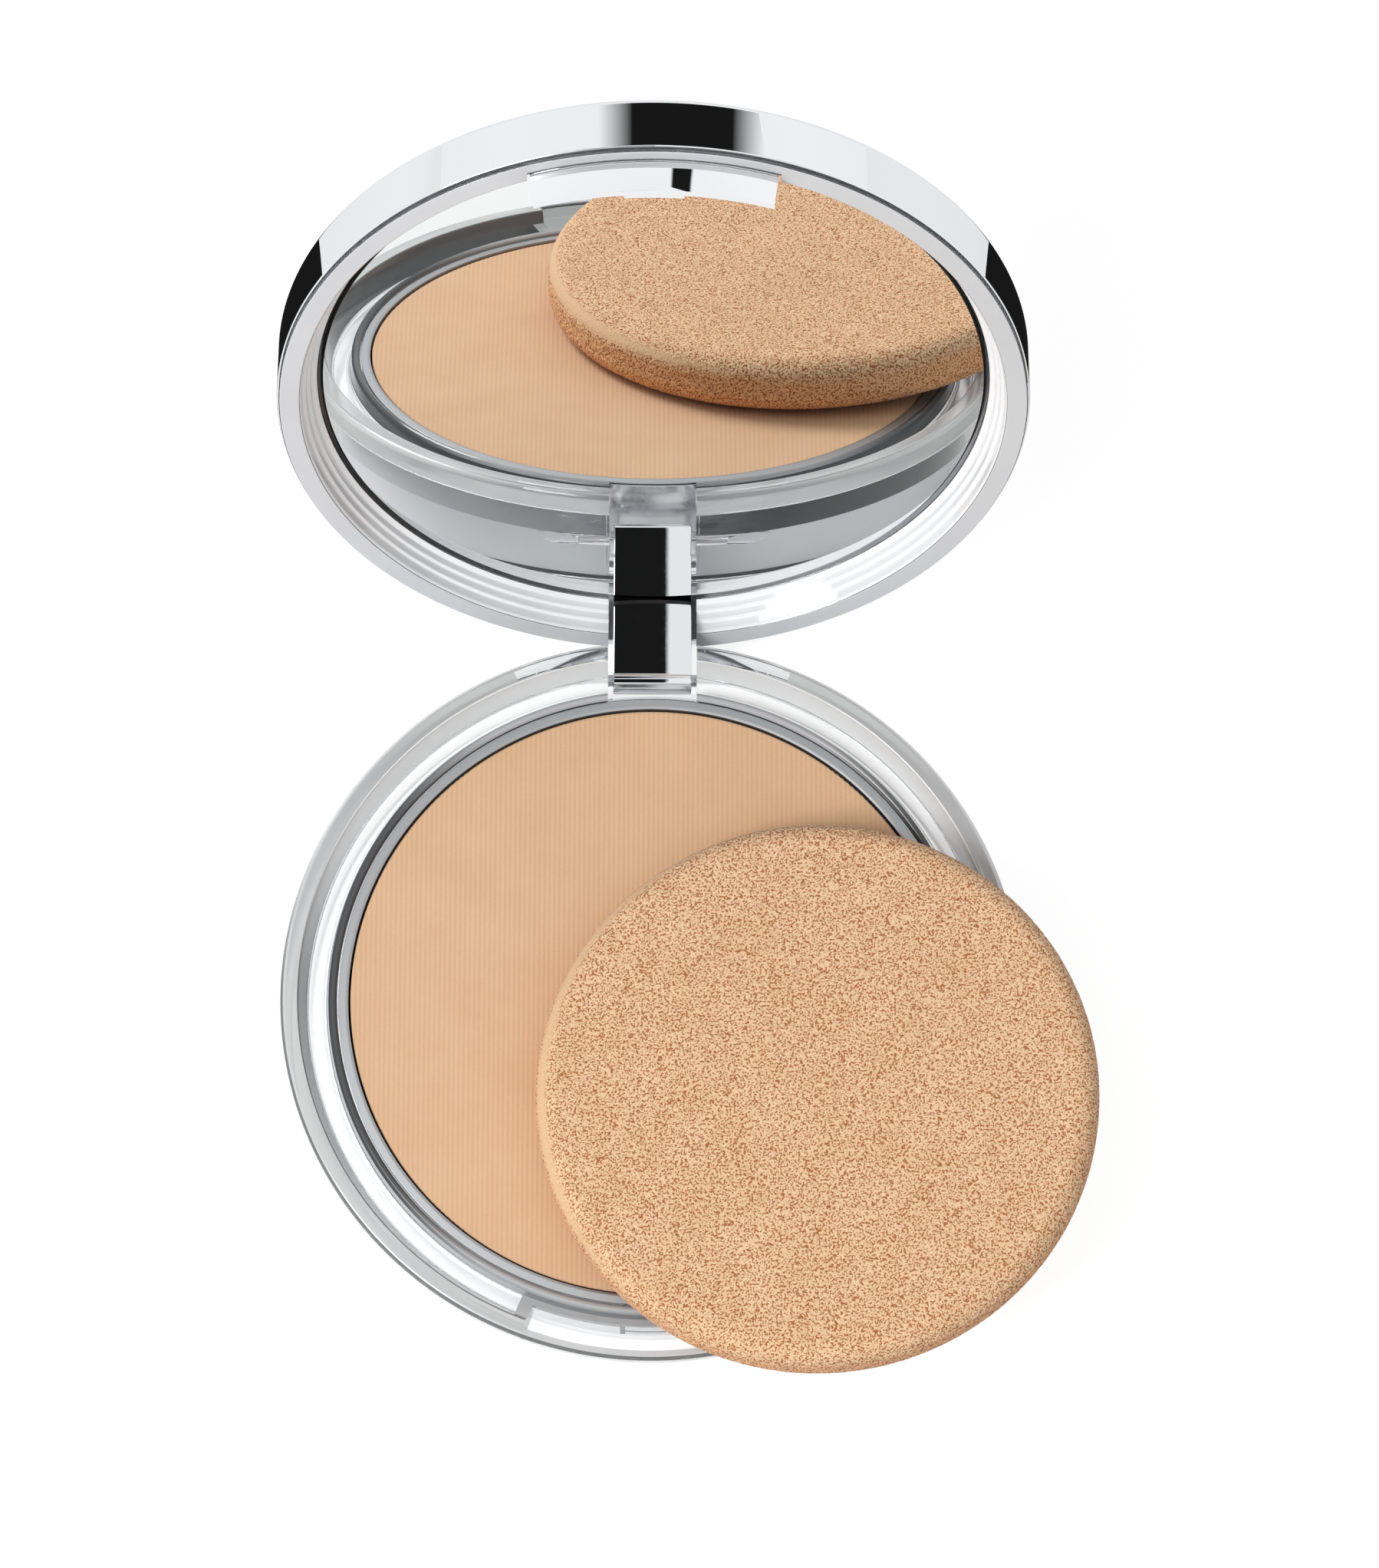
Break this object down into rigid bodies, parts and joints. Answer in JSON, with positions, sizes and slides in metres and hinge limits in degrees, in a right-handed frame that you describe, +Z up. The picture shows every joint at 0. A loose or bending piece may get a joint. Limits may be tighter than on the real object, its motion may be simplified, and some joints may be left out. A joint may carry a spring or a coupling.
{
  "type": "powder compact",
  "caption": "Round pressed-powder compact with a clear base, a mirror lid on a rear hinge, a front snap latch and a loose foam sponge.",
  "frame": {"origin": "middle of the base's underside, on the surface the compact stands on", "axes": "+Z up, +Y towards the hinge at the rear, -Y towards the latch at the front, +X to the right"},
  "size_m": [0.0789, 0.1093, 0.069],
  "materials": {
    "clear_plastic": "gloss",
    "silver_tray": "satin",
    "adhesive": "matte",
    "pan_metal": "satin",
    "pressed_powder": "matte",
    "grey_plastic": "satin",
    "label_paper": "matte",
    "pin_steel": "satin",
    "bright_metal": "polished",
    "mirror_glass": "polished",
    "foam": "matte"
  },
  "bodies": {
    "base": {"base_ring": "clear_plastic", "inner_tray": "silver_tray", "pan_adhesive": "adhesive", "powder_pan": "pan_metal", "powder_cake": "pressed_powder", "base_cover": "grey_plastic", "bottom_label": "label_paper", "hinge_pin_left": "pin_steel", "hinge_pin_right": "pin_steel"},
    "lid": {"hinge_strap": "bright_metal", "lid_shell": "bright_metal", "lid_ring": "clear_plastic", "mirror": "mirror_glass", "mirror_adhesive": "adhesive", "latch_tab": "bright_metal"},
    "sponge": {"sponge": "foam"}
  },
  "joints": [
    {"name": "lid_hinge", "type": "hinge", "parent": "base", "child": "lid", "pos_m": [0, 0.03355, 0.0069], "axis": [1, 0, 0], "range_deg": [0, 112.3]},
    {"name": "sponge_lift", "type": "slide", "parent": "base", "child": "sponge", "axis": [0.8, -0.54, 0.2615], "range_m": [0, 0.0751]}
  ],
  "couplings": [
    {"joint": "sponge_lift", "follows": "lid_hinge", "m_per_rad": 0.0382}
  ]
}
